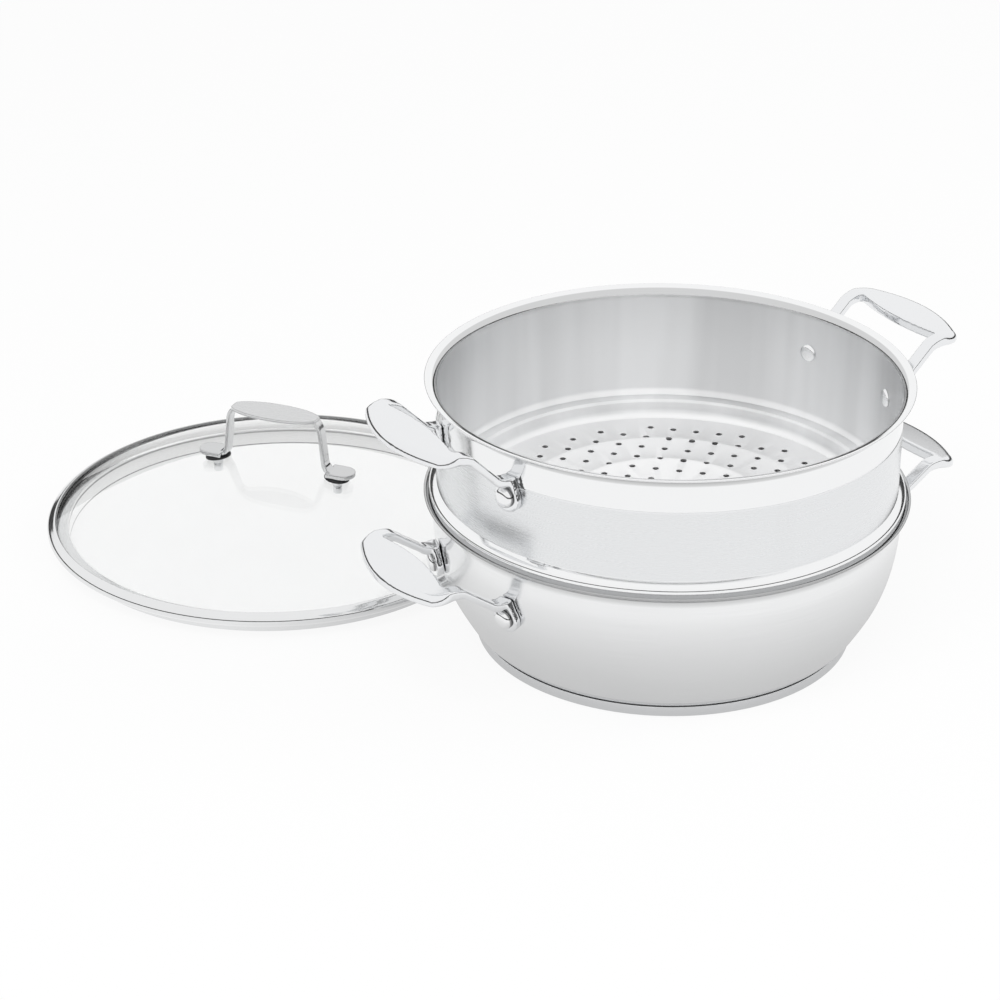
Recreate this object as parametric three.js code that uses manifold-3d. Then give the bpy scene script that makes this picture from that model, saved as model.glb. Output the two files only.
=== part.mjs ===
import * as THREE from 'three';
import { mergeVertices } from 'three/addons/utils/BufferGeometryUtils.js';
import Module from 'manifold-3d';

const wasm = await Module();
wasm.setup();

// Driving dimensions, in millimetres.
const RIM_RADIUS = 140;
const PAN_RIM_RADIUS = RIM_RADIUS + 1;
const LID_RADIUS = RIM_RADIUS + 5;
const SHEET = 1.2;
const FIT = 0.3;
const BASE_RADIUS = 110.6;
const BASE_HEIGHT = 5.8;
const CAP_SHEET = 0.8;
const PAN_RIM_Z = 90.2;
const PAN_LIP = 5;
const STEAMER_RIM_Z = 160.4;
const STEAMER_LIP = 6.5;
const SEAT_BEAD = 4.5;
const LEDGE_WIDTH = 11;
const FLOOR_DROP = 10.7;
const FLOOR_CORNER = 5;
const HOLE_RADIUS = 1.9;
const HOLE_PITCH = 14.2;
const HOLE_MARGIN = 13.5;
const HOLE_TURN = THREE.MathUtils.degToRad(-44);
const PAN_RIVET_DROP = 33.2;
const STEAMER_RIVET_DROP = 28.4;
const ARM_SPREAD = 40;
const ARM_WIDTH = 8.5;
const ARM_THICK = 4.5;
const EAR_RADIUS = 9;
const EAR_THICK = 4;
const GRIP_REACH = 51;
const GRIP_DEPTH = 27;
const GRIP_RISE = 27;
const GRIP_THICK = 6;
const GRIP_EDGE = 1.6;
const RIVET_HEAD = 6;
const RIVET_DOME = 3.8;
const RIVET_SHANK = 2.6;
const LID_GAP = 119.8;
const LID_BEARING = THREE.MathUtils.degToRad(122.87);
const LID_TURN = THREE.MathUtils.degToRad(-53);
const LID_SEAT = 8.2;
const SKIRT_INSET = 8.2;
const BAND_EDGE = 4;
const BAND_LAP = 2;
const GLASS_TOP = 47.5;
const GLASS_EDGE = 15.2;
const GLASS_THICK = 4;
const FOOT_REACH = 41.5;
const FOOT_LENGTH = 12;
const GASKET_THICK = 2;
const GASKET_RADIUS = 8;
const STUD_RADIUS = 1.5;
const NUT_RADIUS = 2.9;
const STRAP = 2.6;
const FOOT_THICK = 3.2;
const FOOT_WIDTH = 15;
const STRAP_RISE = 36;
const LEG_WIDTH = 7;
const DECK_WIDTH = 22;
const STRAP_BEND = 8;
const ROUND = 40;
const SMALL = 12;

const STEAMER_WALL = RIM_RADIUS - STEAMER_LIP;
const PAN_WALL = PAN_RIM_RADIUS - PAN_LIP;
const FLOOR_Z = PAN_RIM_Z - FLOOR_DROP;
const PAN_RIVET_Z = PAN_RIM_Z - PAN_RIVET_DROP;
const STEAMER_RIVET_Z = STEAMER_RIM_Z - STEAMER_RIVET_DROP;
const LID_SKIRT = RIM_RADIUS - SKIRT_INSET;
const GLASS_RADIUS = LID_RADIUS - BAND_EDGE;
const LID_DISTANCE = LID_GAP + LID_RADIUS;
const LID_CENTRE = [LID_DISTANCE * Math.cos(LID_BEARING), LID_DISTANCE * Math.sin(LID_BEARING)];

function toSolid(geometry) {
  const plain = geometry.clone();
  plain.deleteAttribute('normal');
  plain.deleteAttribute('uv');
  const merged = mergeVertices(plain, 1e-4);
  const index = merged.index.array;
  const triangles = [];
  for (let i = 0; i < index.length; i += 3) {
    const [a, b, c] = [index[i], index[i + 1], index[i + 2]];
    if (a !== b && b !== c && c !== a) {
      triangles.push(a, b, c);
    }
  }
  return new wasm.Manifold(new wasm.Mesh({
    numProp: 3,
    vertProperties: new Float32Array(merged.attributes.position.array),
    triVerts: new Uint32Array(triangles),
  }));
}

function toMesh(solid, name, look) {
  const data = solid.getMesh();
  const geometry = new THREE.BufferGeometry();
  geometry.setAttribute('position', new THREE.BufferAttribute(new Float32Array(data.vertProperties), 3));
  geometry.setIndex(new THREE.BufferAttribute(new Uint32Array(data.triVerts), 1));
  geometry.computeVertexNormals();
  const mesh = new THREE.Mesh(geometry, new THREE.MeshStandardMaterial(look));
  mesh.name = name;
  return mesh;
}

// Turns a closed profile of [radius, height] pairs about the upright axis.
function turned(profile, segments = ROUND) {
  let area = 0;
  profile.forEach(([r, z], i) => {
    const [r2, z2] = profile[(i + 1) % profile.length];
    area += r * z2 - r2 * z;
  });
  const ordered = area > 0 ? profile : [...profile].reverse();
  const points = ordered.map(([r, z]) => new THREE.Vector2(r, z));
  points.push(points[0].clone());
  const geometry = new THREE.LatheGeometry(points, segments);
  geometry.rotateX(Math.PI / 2);
  return toSolid(geometry);
}

function extruded(shape, depth, curveSegments = 5) {
  return new THREE.ExtrudeGeometry(shape, { depth, bevelEnabled: false, curveSegments });
}

// A plate of a given thickness whose edges are broken by a chamfer inside its outline.
function chamfered(shape, thickness, edge, curveSegments = 5) {
  const geometry = new THREE.ExtrudeGeometry(shape, {
    depth: thickness - 2 * edge,
    bevelEnabled: true,
    bevelThickness: edge,
    bevelSize: edge,
    bevelOffset: -edge,
    bevelSegments: 1,
    curveSegments,
  });
  geometry.translate(0, 0, edge);
  return geometry;
}

// A rod along +X from one radius to another, at a turn about the axis and a height.
function radialRod(radius, from, to, turn, z, segments = SMALL) {
  const geometry = new THREE.CylinderGeometry(radius, radius, to - from, segments);
  geometry.rotateZ(-Math.PI / 2);
  geometry.translate((from + to) / 2, 0, z);
  geometry.rotateZ(turn);
  return toSolid(geometry);
}

// Bowl curve from the base's edge, at 0, to the straight wall under the lip, at 1: [radius, height].
const BOWL_CURVE = [
  [0.19, 0.07],
  [0.43, 0.2],
  [0.65, 0.34],
  [0.82, 0.5],
  [0.93, 0.67],
  [0.99, 0.85],
  [1, 1],
];
const bowlFoot = [BASE_RADIUS, BASE_HEIGHT + FIT + 0.6];
const bowlTop = [PAN_WALL, PAN_RIM_Z - 7];
const bowl = BOWL_CURVE.map(([a, b]) => [
  bowlFoot[0] + (bowlTop[0] - bowlFoot[0]) * a,
  bowlFoot[1] + (bowlTop[1] - bowlFoot[1]) * b,
]);
const panOuter = [
  [0, BASE_HEIGHT + FIT],
  [BASE_RADIUS - 4.6, BASE_HEIGHT + FIT],
  bowlFoot,
  ...bowl,
  [PAN_WALL + 1, PAN_RIM_Z - 4],
  [PAN_RIM_RADIUS - 1.4, PAN_RIM_Z - 1.8],
  [PAN_RIM_RADIUS, PAN_RIM_Z - 0.9],
  [PAN_RIM_RADIUS, PAN_RIM_Z],
];
const panInner = [
  [PAN_RIM_RADIUS - 1.2, PAN_RIM_Z],
  [PAN_RIM_RADIUS - 2.4, PAN_RIM_Z - 1],
  [PAN_WALL, PAN_RIM_Z - 3],
  ...[...bowl].reverse().map(([r, z]) => [r - SHEET, z + SHEET / 3]),
  [BASE_RADIUS - 0.6, BASE_HEIGHT + FIT + SHEET + 0.8],
  [BASE_RADIUS - 4.6, BASE_HEIGHT + FIT + SHEET],
  [0, BASE_HEIGHT + FIT + SHEET],
];

// Slope and radius of the bowl's outside at a height.
function bowlAt(height) {
  const above = bowl.findIndex(([, z]) => z > height);
  const [r0, z0] = bowl[above - 1];
  const [r1, z1] = bowl[above];
  const slope = (r1 - r0) / (z1 - z0);
  return { radius: r0 + slope * (height - z0), lean: Math.atan(slope) };
}

// Steamer: flared lip, straight wall, seat bead, ledge and sunk floor.
const ledgeIn = STEAMER_WALL - LEDGE_WIDTH;
const floorEdge = ledgeIn - FLOOR_CORNER;
const ledgeZ = FLOOR_Z + FLOOR_DROP - 0.1;
const beadRadius = STEAMER_WALL + SEAT_BEAD;
const steamerOuter = [
  [0, FLOOR_Z - SHEET],
  [floorEdge, FLOOR_Z - SHEET],
  [ledgeIn - 1.8, FLOOR_Z + 0.9],
  [ledgeIn - 0.2, FLOOR_Z + 4.5],
  [ledgeIn, ledgeZ - SHEET - 0.9],
  [ledgeIn + 0.8, ledgeZ - SHEET],
  [STEAMER_WALL - 4.3, ledgeZ - SHEET],
  [STEAMER_WALL - 1.9, PAN_RIM_Z - 2],
  [STEAMER_WALL + 0.5, PAN_RIM_Z - 2.7],
  [PAN_WALL + 0.4, PAN_RIM_Z - 2.3],
  [PAN_RIM_RADIUS - 3.2, PAN_RIM_Z - 1.2],
  [beadRadius, PAN_RIM_Z + 1.6],
  [beadRadius - 0.8, PAN_RIM_Z + 4.4],
  [STEAMER_WALL, PAN_RIM_Z + 7],
  [STEAMER_WALL, STEAMER_RIM_Z - 7],
  [STEAMER_WALL + 0.7, STEAMER_RIM_Z - 4.2],
  [STEAMER_WALL + 2.5, STEAMER_RIM_Z - 2.4],
  [RIM_RADIUS - 0.4, STEAMER_RIM_Z - 1.4],
  [RIM_RADIUS, STEAMER_RIM_Z - 0.7],
  [RIM_RADIUS - 0.2, STEAMER_RIM_Z],
];
const steamerInner = [
  [RIM_RADIUS - 1, STEAMER_RIM_Z - 0.3],
  [STEAMER_WALL + 2.1, STEAMER_RIM_Z - 1.2],
  [STEAMER_WALL - 0.3, STEAMER_RIM_Z - 3.4],
  [STEAMER_WALL - SHEET, STEAMER_RIM_Z - 6.6],
  [STEAMER_WALL - SHEET, PAN_RIM_Z + 4],
  [STEAMER_WALL - SHEET - 0.9, PAN_RIM_Z + 1.6],
  [STEAMER_WALL - SHEET - 2.9, ledgeZ],
  [ledgeIn, ledgeZ],
  [ledgeIn - SHEET, ledgeZ - 1.5],
  [ledgeIn - SHEET - 0.2, FLOOR_Z + 4.7],
  [ledgeIn - SHEET - 1.6, FLOOR_Z + 1.7],
  [floorEdge - 0.4, FLOOR_Z],
  [0, FLOOR_Z],
];

function filled(outline, inset, topZ) {
  const grown = outline.slice(1).map(([r, z]) => [r + inset, z]);
  return turned([[0, outline[0][1]], ...grown, [0, topZ]]);
}

const panSolid = filled(panOuter, FIT, PAN_RIM_Z);
const panSpace = filled([...panInner].reverse(), -FIT, PAN_RIM_Z);
const wallSolid = turned([
  [0, PAN_RIM_Z],
  [STEAMER_WALL + FIT, PAN_RIM_Z],
  [STEAMER_WALL + FIT, STEAMER_RIM_Z],
  [0, STEAMER_RIM_Z],
]);
const wallSpace = turned([
  [0, PAN_RIM_Z],
  [STEAMER_WALL - SHEET - FIT, PAN_RIM_Z],
  [STEAMER_WALL - SHEET - FIT, STEAMER_RIM_Z],
  [0, STEAMER_RIM_Z],
]);
const panSeat = bowlAt(PAN_RIVET_Z);

const grades = {
  steel: { color: 0xd4d6d8, metalness: 1, roughness: 0.2 },
  brushed: { color: 0xc9cbcd, metalness: 1, roughness: 0.35 },
  aluminium: { color: 0xbfc2c5, metalness: 1, roughness: 0.5 },
  glass: { color: 0xeef3f4, metalness: 0, roughness: 0.05, transparent: true, opacity: 0.35 },
  rubber: { color: 0x161616, metalness: 0, roughness: 0.8 },
};

const group = new THREE.Group();

// Each seat says where a loop handle meets its wall, and how far the wall leans out there.
const seats = {
  pan: {
    radius: panSeat.radius,
    z: PAN_RIVET_Z,
    lean: panSeat.lean,
    wall: panSolid,
    space: panSpace,
  },
  steamer: {
    radius: STEAMER_WALL,
    z: STEAMER_RIVET_Z,
    lean: 0,
    wall: wallSolid,
    space: wallSpace,
  },
};

function rivetTurn(seat, side) {
  return Math.asin(ARM_SPREAD / (seat.radius + EAR_THICK)) * side;
}

// Leans a piece built upright at the seat, so that it stands square on the wall.
function leaned(solid, seat) {
  return solid.translate([-seat.radius, 0, -seat.z])
    .rotate([0, THREE.MathUtils.radToDeg(seat.lean), 0])
    .translate([seat.radius, 0, seat.z]);
}

function rivetBore(seat, side) {
  const turn = rivetTurn(seat, side);
  const bore = radialRod(RIVET_SHANK + FIT, seat.radius - 14, seat.radius + 14, turn, seat.z);
  return leaned(bore, seat);
}

// One cast loop handle reaching along +X: lens-shaped grip, two slanted arms, two round ears.
function loopHandle(seat) {
  const w = seat.radius;
  const half = ARM_SPREAD + ARM_WIDTH / 2;
  const back = w + GRIP_REACH - GRIP_DEPTH + 5;
  const grip = new THREE.Shape();
  grip.moveTo(back, ARM_WIDTH - half);
  grip.quadraticCurveTo(back - 8, 0, back, half - ARM_WIDTH);
  grip.lineTo(back - 1, half);
  grip.quadraticCurveTo(w + GRIP_REACH - 15, half + 1.5, w + GRIP_REACH - 10, ARM_SPREAD + 1);
  grip.quadraticCurveTo(w + GRIP_REACH + 10, 0, w + GRIP_REACH - 10, -ARM_SPREAD - 1);
  grip.quadraticCurveTo(w + GRIP_REACH - 15, -half - 1.5, back - 1, -half);
  const plate = chamfered(grip, GRIP_THICK, GRIP_EDGE);
  plate.translate(0, 0, seat.z + GRIP_RISE);
  let solid = toSolid(plate);
  const top = GRIP_RISE + GRIP_THICK;
  const low = RIVET_HEAD + 1.5;
  const tall = low + ARM_THICK;
  const bar = new THREE.Shape();
  bar.moveTo(w - 12, low);
  bar.lineTo(w + 2, low);
  bar.quadraticCurveTo(w + 5, low + 0.5, w + 8, low + 4.5);
  bar.lineTo(back - 7, GRIP_RISE - 1.5);
  bar.quadraticCurveTo(back - 3, GRIP_RISE, back + 2, GRIP_RISE);
  bar.lineTo(back + 2, top);
  bar.quadraticCurveTo(back - 4, top, back - 9, top - 3.1);
  bar.lineTo(w + 5, tall + 3);
  bar.quadraticCurveTo(w + 2.5, tall + 0.3, w - 2, tall);
  bar.lineTo(w - 12, tall);
  for (const side of [-1, 1]) {
    const arm = extruded(bar, ARM_WIDTH);
    arm.rotateX(Math.PI / 2);
    arm.translate(0, side * ARM_SPREAD + ARM_WIDTH / 2, seat.z);
    const turn = rivetTurn(seat, side);
    const face = w + FIT + EAR_THICK;
    const neck = new THREE.Shape();
    neck.moveTo(-EAR_RADIUS, 0);
    neck.lineTo(EAR_RADIUS, 0);
    neck.lineTo(ARM_WIDTH / 2, tall);
    neck.lineTo(-ARM_WIDTH / 2, tall);
    const tab = extruded(neck, EAR_THICK + 10);
    tab.rotateX(Math.PI / 2);
    tab.rotateZ(Math.PI / 2);
    tab.translate(face - EAR_THICK - 10, 0, seat.z);
    tab.rotateZ(turn);
    solid = solid.add(toSolid(arm));
    solid = solid.add(toSolid(tab));
    solid = solid.add(radialRod(EAR_RADIUS, face - EAR_THICK - 10, face, turn, seat.z, 20));
  }
  solid = leaned(solid, seat).subtract(seat.wall);
  for (const side of [-1, 1]) {
    solid = solid.subtract(rivetBore(seat, side));
  }
  return solid;
}

// One rivet: domed head on the ear, shank through ear and wall, low head seated inside.
function rivet(seat, side) {
  const turn = rivetTurn(seat, side);
  const rest = seat.radius + EAR_THICK + 2 * FIT;
  const dome = [
    [0, 0],
    [RIVET_HEAD, 0],
    [RIVET_HEAD, RIVET_DOME * 0.25],
    [RIVET_HEAD * 0.8, RIVET_DOME * 0.66],
    [RIVET_HEAD * 0.4, RIVET_DOME * 0.94],
    [0, RIVET_DOME],
  ];
  const geometry = new THREE.LatheGeometry(dome.map(([r, h]) => new THREE.Vector2(r, h)), SMALL);
  geometry.rotateZ(-Math.PI / 2);
  geometry.translate(rest, 0, seat.z);
  geometry.rotateZ(turn);
  const head = toSolid(geometry);
  const inner = seat.radius - SHEET;
  const shank = radialRod(RIVET_SHANK, inner - 2.2, rest + 0.5, turn, seat.z);
  const inside = radialRod(RIVET_HEAD - 0.5, inner - 2.8, inner + 4, turn, seat.z);
  return leaned(head.add(shank), seat).add(leaned(inside, seat).intersect(seat.space));
}

function boreWall(body, seat) {
  let cut = body;
  for (const half of [0, 180]) {
    for (const side of [-1, 1]) {
      cut = cut.subtract(rivetBore(seat, side).rotate([0, 0, half]));
    }
  }
  return cut;
}

// Pan: bowl, aluminium core, and the steel cap that wraps the core.
const panBody = boreWall(turned([...panOuter, ...panInner]), seats.pan);
group.add(toMesh(panBody, 'pan_body', grades.brushed));
const core = turned([
  [0, CAP_SHEET + FIT],
  [BASE_RADIUS - CAP_SHEET - FIT, CAP_SHEET + FIT],
  [BASE_RADIUS - CAP_SHEET - FIT, BASE_HEIGHT],
  [0, BASE_HEIGHT],
]);
group.add(toMesh(core, 'pan_base_core', grades.aluminium));
const cap = turned([
  [0, 0],
  [BASE_RADIUS - CAP_SHEET, 0],
  [BASE_RADIUS, CAP_SHEET],
  [BASE_RADIUS, BASE_HEIGHT],
  [BASE_RADIUS - CAP_SHEET, BASE_HEIGHT],
  [BASE_RADIUS - CAP_SHEET, CAP_SHEET],
  [0, CAP_SHEET],
]);
group.add(toMesh(cap, 'pan_base_cap', grades.steel));

// Steamer: one pressed body whose floor is pierced on a square grid.
const drill = [];
const holeField = floorEdge - HOLE_MARGIN;
const reach = Math.ceil(holeField / HOLE_PITCH);
for (let i = -reach; i <= reach; i += 1) {
  for (let j = -reach; j <= reach; j += 1) {
    const [x, y] = [i * HOLE_PITCH, j * HOLE_PITCH];
    if (Math.hypot(x, y) < holeField) {
      const hole = new THREE.CylinderGeometry(HOLE_RADIUS, HOLE_RADIUS, 4 * SHEET, 6);
      hole.rotateX(Math.PI / 2);
      hole.translate(x, y, FLOOR_Z - SHEET / 2);
      hole.rotateZ(HOLE_TURN);
      drill.push(toSolid(hole));
    }
  }
}
const holes = drill.reduce((all, one) => all.add(one));
const steamerShell = turned([...steamerOuter, ...steamerInner]).subtract(holes);
const steamerBody = boreWall(steamerShell, seats.steamer);
group.add(toMesh(steamerBody, 'steamer_body', grades.brushed));

for (const [owner, seat] of Object.entries(seats)) {
  const handle = loopHandle(seat);
  for (const [word, half] of [['right', 0], ['left', 180]]) {
    group.add(toMesh(handle.rotate([0, 0, half]), `${owner}_handle_${word}`, grades.steel));
    for (const [place, side] of [['a', -1], ['b', 1]]) {
      const pin = rivet(seat, side).rotate([0, 0, half]);
      group.add(toMesh(pin, `${owner}_rivet_${word}_${place}`, grades.steel));
    }
  }
}

// Lid, built about its own axis and then laid beside the pan.
const bandIn = GLASS_RADIUS - BAND_LAP;
const domeTop = (r) => GLASS_TOP - (GLASS_TOP - GLASS_EDGE) * (r / bandIn) ** 2;
const glassSteps = [0, 0.25, 0.45, 0.65, 0.85, 1].map((k) => k * GLASS_RADIUS);
const glassProfile = [
  ...glassSteps.map((r) => [r, domeTop(r) - GLASS_THICK]),
  ...[...glassSteps].reverse().map((r) => [r, domeTop(r)]),
];
const slot = GLASS_RADIUS + FIT;
const bandProfile = [
  [LID_SKIRT - SHEET, 0],
  [LID_SKIRT, 0],
  [LID_SKIRT, LID_SEAT],
  [GLASS_RADIUS + 1, LID_SEAT + 0.2],
  [LID_RADIUS - 0.6, LID_SEAT + 2.4],
  [LID_RADIUS, LID_SEAT + 3.6],
  [LID_RADIUS - 0.6, domeTop(GLASS_RADIUS)],
  [GLASS_RADIUS + 1.2, domeTop(GLASS_RADIUS) + 1.6],
  [bandIn, domeTop(bandIn) + FIT + 1.4],
  [bandIn, domeTop(bandIn) + FIT],
  [slot, domeTop(slot) + FIT],
  [slot, domeTop(slot) - GLASS_THICK - FIT],
  [LID_SKIRT + 0.7, LID_SEAT + 2.6],
  [LID_SKIRT - SHEET, LID_SEAT + 2.6],
];
const upright = (radius, low, high, x, segments = SMALL) => {
  const geometry = new THREE.CylinderGeometry(radius, radius, high - low, segments);
  geometry.rotateX(Math.PI / 2);
  geometry.translate(x, 0, (low + high) / 2);
  return toSolid(geometry);
};
const onLid = (solid) => solid.rotate([0, 0, THREE.MathUtils.radToDeg(LID_TURN)])
  .translate([LID_CENTRE[0], LID_CENTRE[1], 0]);
const footZ = domeTop(FOOT_REACH) + GASKET_THICK + FIT;
const deckZ = footZ + STRAP_RISE;
const glassUnder = domeTop(FOOT_REACH) - GLASS_THICK;
const washerLow = glassUnder - 2.4;
const studLow = washerLow - 3.6;
const domeAbove = turned([
  ...glassSteps.map((r) => [r, domeTop(r) + FIT]),
  [GLASS_RADIUS, deckZ],
  [0, deckZ],
]);
const domeBelow = turned([
  [0, 0],
  [GLASS_RADIUS, 0],
  ...[...glassSteps].reverse().map((r) => [r, domeTop(r) - GLASS_THICK - FIT]),
]);

let glass = turned(glassProfile);
for (const x of [-FOOT_REACH, FOOT_REACH]) {
  glass = glass.subtract(upright(STUD_RADIUS + FIT, 0, deckZ, x));
}
group.add(toMesh(onLid(glass), 'lid_glass', grades.glass));
group.add(toMesh(onLid(turned(bandProfile)), 'lid_rim_band', grades.steel));

// Strap handle: oval deck, two legs and two feet, with a stud under each foot.
const legTop = FOOT_REACH - 10.5;
const legFoot = FOOT_REACH - 5;
const deckEnd = legTop - STRAP_BEND / 4;
const halfFoot = FOOT_WIDTH / 2;
const halfLeg = LEG_WIDTH / 2;
const swell = (DECK_WIDTH - halfLeg / 2) / 1.5;
const swellEnd = deckEnd - 10;
const deckShape = new THREE.Shape();
deckShape.moveTo(-deckEnd, -halfLeg);
deckShape.bezierCurveTo(-swellEnd, -swell, swellEnd, -swell, deckEnd, -halfLeg);
deckShape.lineTo(deckEnd, halfLeg);
deckShape.bezierCurveTo(swellEnd, swell, -swellEnd, swell, -deckEnd, halfLeg);
const deck = extruded(deckShape, STRAP, 10);
deck.translate(0, 0, deckZ - STRAP);
let strap = toSolid(deck);
for (const side of [-1, 1]) {
  const leg = new THREE.Shape();
  leg.moveTo(side * (legTop - STRAP_BEND), deckZ);
  leg.quadraticCurveTo(side * (legTop + 0.5), deckZ, side * (legTop + 2), deckZ - STRAP_BEND - 1);
  leg.lineTo(side * (legFoot - 1.5), footZ + STRAP + 5);
  leg.quadraticCurveTo(side * (legFoot - 0.5), footZ + STRAP, side * (legFoot + 5), footZ + STRAP);
  leg.lineTo(side * (legFoot + 5), footZ);
  leg.lineTo(side * (legFoot + 2), footZ);
  leg.quadraticCurveTo(side * (legFoot - 3.3), footZ, side * (legFoot - 4.2), footZ + 6);
  leg.lineTo(side * (legTop - 0.7), deckZ - STRAP_BEND - 2);
  leg.quadraticCurveTo(side * (legTop - 2), deckZ - STRAP, side * (legTop - STRAP_BEND), deckZ - STRAP);
  const legBody = extruded(leg, LEG_WIDTH);
  legBody.rotateX(Math.PI / 2);
  legBody.translate(0, halfLeg, 0);
  strap = strap.add(toSolid(legBody));
  const toe = FOOT_REACH + FOOT_LENGTH;
  const foot = new THREE.Shape();
  foot.moveTo(side * legFoot, -halfFoot);
  foot.lineTo(side * (toe - 10), -halfFoot);
  foot.quadraticCurveTo(side * toe, -halfFoot, side * toe, 0);
  foot.quadraticCurveTo(side * toe, halfFoot, side * (toe - 10), halfFoot);
  foot.lineTo(side * legFoot, halfFoot);
  const footBody = extruded(foot, FOOT_THICK);
  footBody.translate(0, 0, footZ);
  strap = strap.add(toSolid(footBody));
  strap = strap.add(upright(STUD_RADIUS, studLow, footZ + STRAP / 2, side * FOOT_REACH));
}
group.add(toMesh(onLid(strap), 'lid_handle', grades.steel));

// Under each foot: a gasket on the glass, and below the glass a washer and a cap nut.
for (const [word, side] of [['a', -1], ['b', 1]]) {
  const x = side * FOOT_REACH;
  const bore = upright(STUD_RADIUS + FIT, 0, deckZ, x);
  const gasketLow = domeTop(FOOT_REACH + GASKET_RADIUS) - 1;
  const gasket = upright(GASKET_RADIUS, gasketLow, footZ - FIT, x).intersect(domeAbove).subtract(bore);
  group.add(toMesh(onLid(gasket), `lid_gasket_${word}`, grades.rubber));
  const washer = upright(NUT_RADIUS + 0.3, washerLow, glassUnder + 3, x).intersect(domeBelow).subtract(bore);
  group.add(toMesh(onLid(washer), `lid_washer_${word}`, grades.steel));
  const blind = upright(STUD_RADIUS + FIT, studLow - FIT, glassUnder, x);
  const nut = upright(NUT_RADIUS, studLow - 1.6, washerLow - FIT, x, 6).subtract(blind);
  group.add(toMesh(onLid(nut), `lid_nut_${word}`, grades.steel));
}

export default group;
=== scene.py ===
"""Dresses the multi-purpose pan: bowl with a disc base, pierced steamer, and glass lid."""
import math

import bmesh
import bpy
from bpy.props import FloatProperty, FloatVectorProperty, IntProperty, PointerProperty
from mathutils import Matrix, Vector


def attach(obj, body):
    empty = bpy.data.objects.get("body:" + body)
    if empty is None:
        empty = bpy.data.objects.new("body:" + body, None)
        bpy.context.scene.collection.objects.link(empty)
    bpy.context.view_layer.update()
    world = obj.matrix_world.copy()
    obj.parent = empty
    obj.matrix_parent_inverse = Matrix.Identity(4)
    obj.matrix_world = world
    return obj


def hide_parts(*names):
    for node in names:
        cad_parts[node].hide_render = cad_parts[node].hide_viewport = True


bl_info = {
    "name": "Multi-purpose pan",
    "version": (1, 0, 0),
    "blender": (4, 5, 0),
    "location": "View3D > Sidebar > Pan",
    "description": "Builds the finished surfaces of a pan with a steamer insert and a glass lid",
    "category": "Mesh",
}

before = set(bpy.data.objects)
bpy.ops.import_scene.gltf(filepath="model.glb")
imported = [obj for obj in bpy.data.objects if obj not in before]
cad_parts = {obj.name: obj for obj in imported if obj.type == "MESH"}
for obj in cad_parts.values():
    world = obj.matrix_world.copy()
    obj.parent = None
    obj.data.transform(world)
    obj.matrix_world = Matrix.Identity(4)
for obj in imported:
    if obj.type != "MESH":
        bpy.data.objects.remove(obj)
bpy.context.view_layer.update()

MM = 0.001
FULL_TURN = 2 * math.pi
SIDES = (("right", 0.0), ("left", math.pi))

# Places shared by several pieces, in millimetres.
FIT = 0.3
BASE_HEIGHT = 5.8
CAP_SHEET = 0.8
CAP_CORNER = 0.7
BOWL_FOOT = 0.6
BOWL_FLAT_INSET = 4.6
BOWL_WALL_DROP = 7.0
PAN_LIP = 5.0
STEAMER_LIP = 6.5
SEAT_BEAD = 4.5
LEDGE_WIDTH = 11.0
FLOOR_DROP = 10.7
FLOOR_CORNER = 5.0
FLOOR_RINGS = (87.0, 58.0)
RING_RISE = 0.5
HOLE_MARGIN = 13.5
PAN_RIVET_DROP = 33.2
STEAMER_RIVET_DROP = 28.4
ARM_SPREAD = 40.0
ARM_WIDTH = 8.5
ARM_THICK = 4.5
EAR_RADIUS = 9.0
EAR_THICK = 4.0
GRIP_REACH = 51.0
GRIP_DEPTH = 27.0
GRIP_RISE = 27.0
GRIP_THICK = 6.0
GRIP_ROUND = 4.4
RIVET_HEAD = 6.0
RIVET_DOME = 3.8
RIVET_SHANK = 2.6
LID_SEAT = 8.2
SKIRT_INSET = 8.2
BAND_EDGE = 4.0
BAND_LAP = 2.0
GLASS_EDGE = 15.2
GLASS_THICK = 4.0
FOOT_REACH = 41.5
FOOT_LENGTH = 12.0
GASKET_THICK = 2.0
GASKET_RADIUS = 8.0
STUD_RADIUS = 1.5
STUD_DROP = 6.0
WASHER_DROP = 2.4
NUT_RADIUS = 2.9
NUT_PAST_STUD = 1.6
STRAP = 2.6
STRAP_GRAIN = 0.36
FOOT_THICK = 3.2
FOOT_WIDTH = 15.0
FOOT_NOSE = 10.0
STRAP_RISE = 36.0
STRAP_BEND = 8.0
LEG_WIDTH = 7.0
DECK_WIDTH = 22.0
BAND_LINE_Z = 138.0

# The bowl's outside, in shares of its way from the base's edge to the wall.
BOWL_CURVE = [
    (0.19, 0.07), (0.43, 0.2), (0.65, 0.34), (0.82, 0.5), (0.93, 0.67), (0.99, 0.85), (1.0, 1.0),
]

# Angle in degrees past which an edge stays sharp, on turned and on cast pieces.
TURNED_CREASE = 32.0
CAST_CREASE = 60.0

# Finishes: shares of a colour, limits of a roughness, strength and depth of a bump.
POLISH_TONE = 0.95
POLISH_ROUGH = (0.07, 0.13)
# Share of a colour left in painted shade lines: at the rivet heads' feet and on the lid band.
PAINTED_SHADE_LINE = 0.3
PEEL = (0.02, 0.0002)
FINE_LINES = (0.03, 0.0001)

# The stage, in metres and watts; brightness in shares of white.
FLOOR_HALF = 6.0
FLOOR_SINK = 0.0003
FLOOR_GLOW = 0.9
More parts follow.
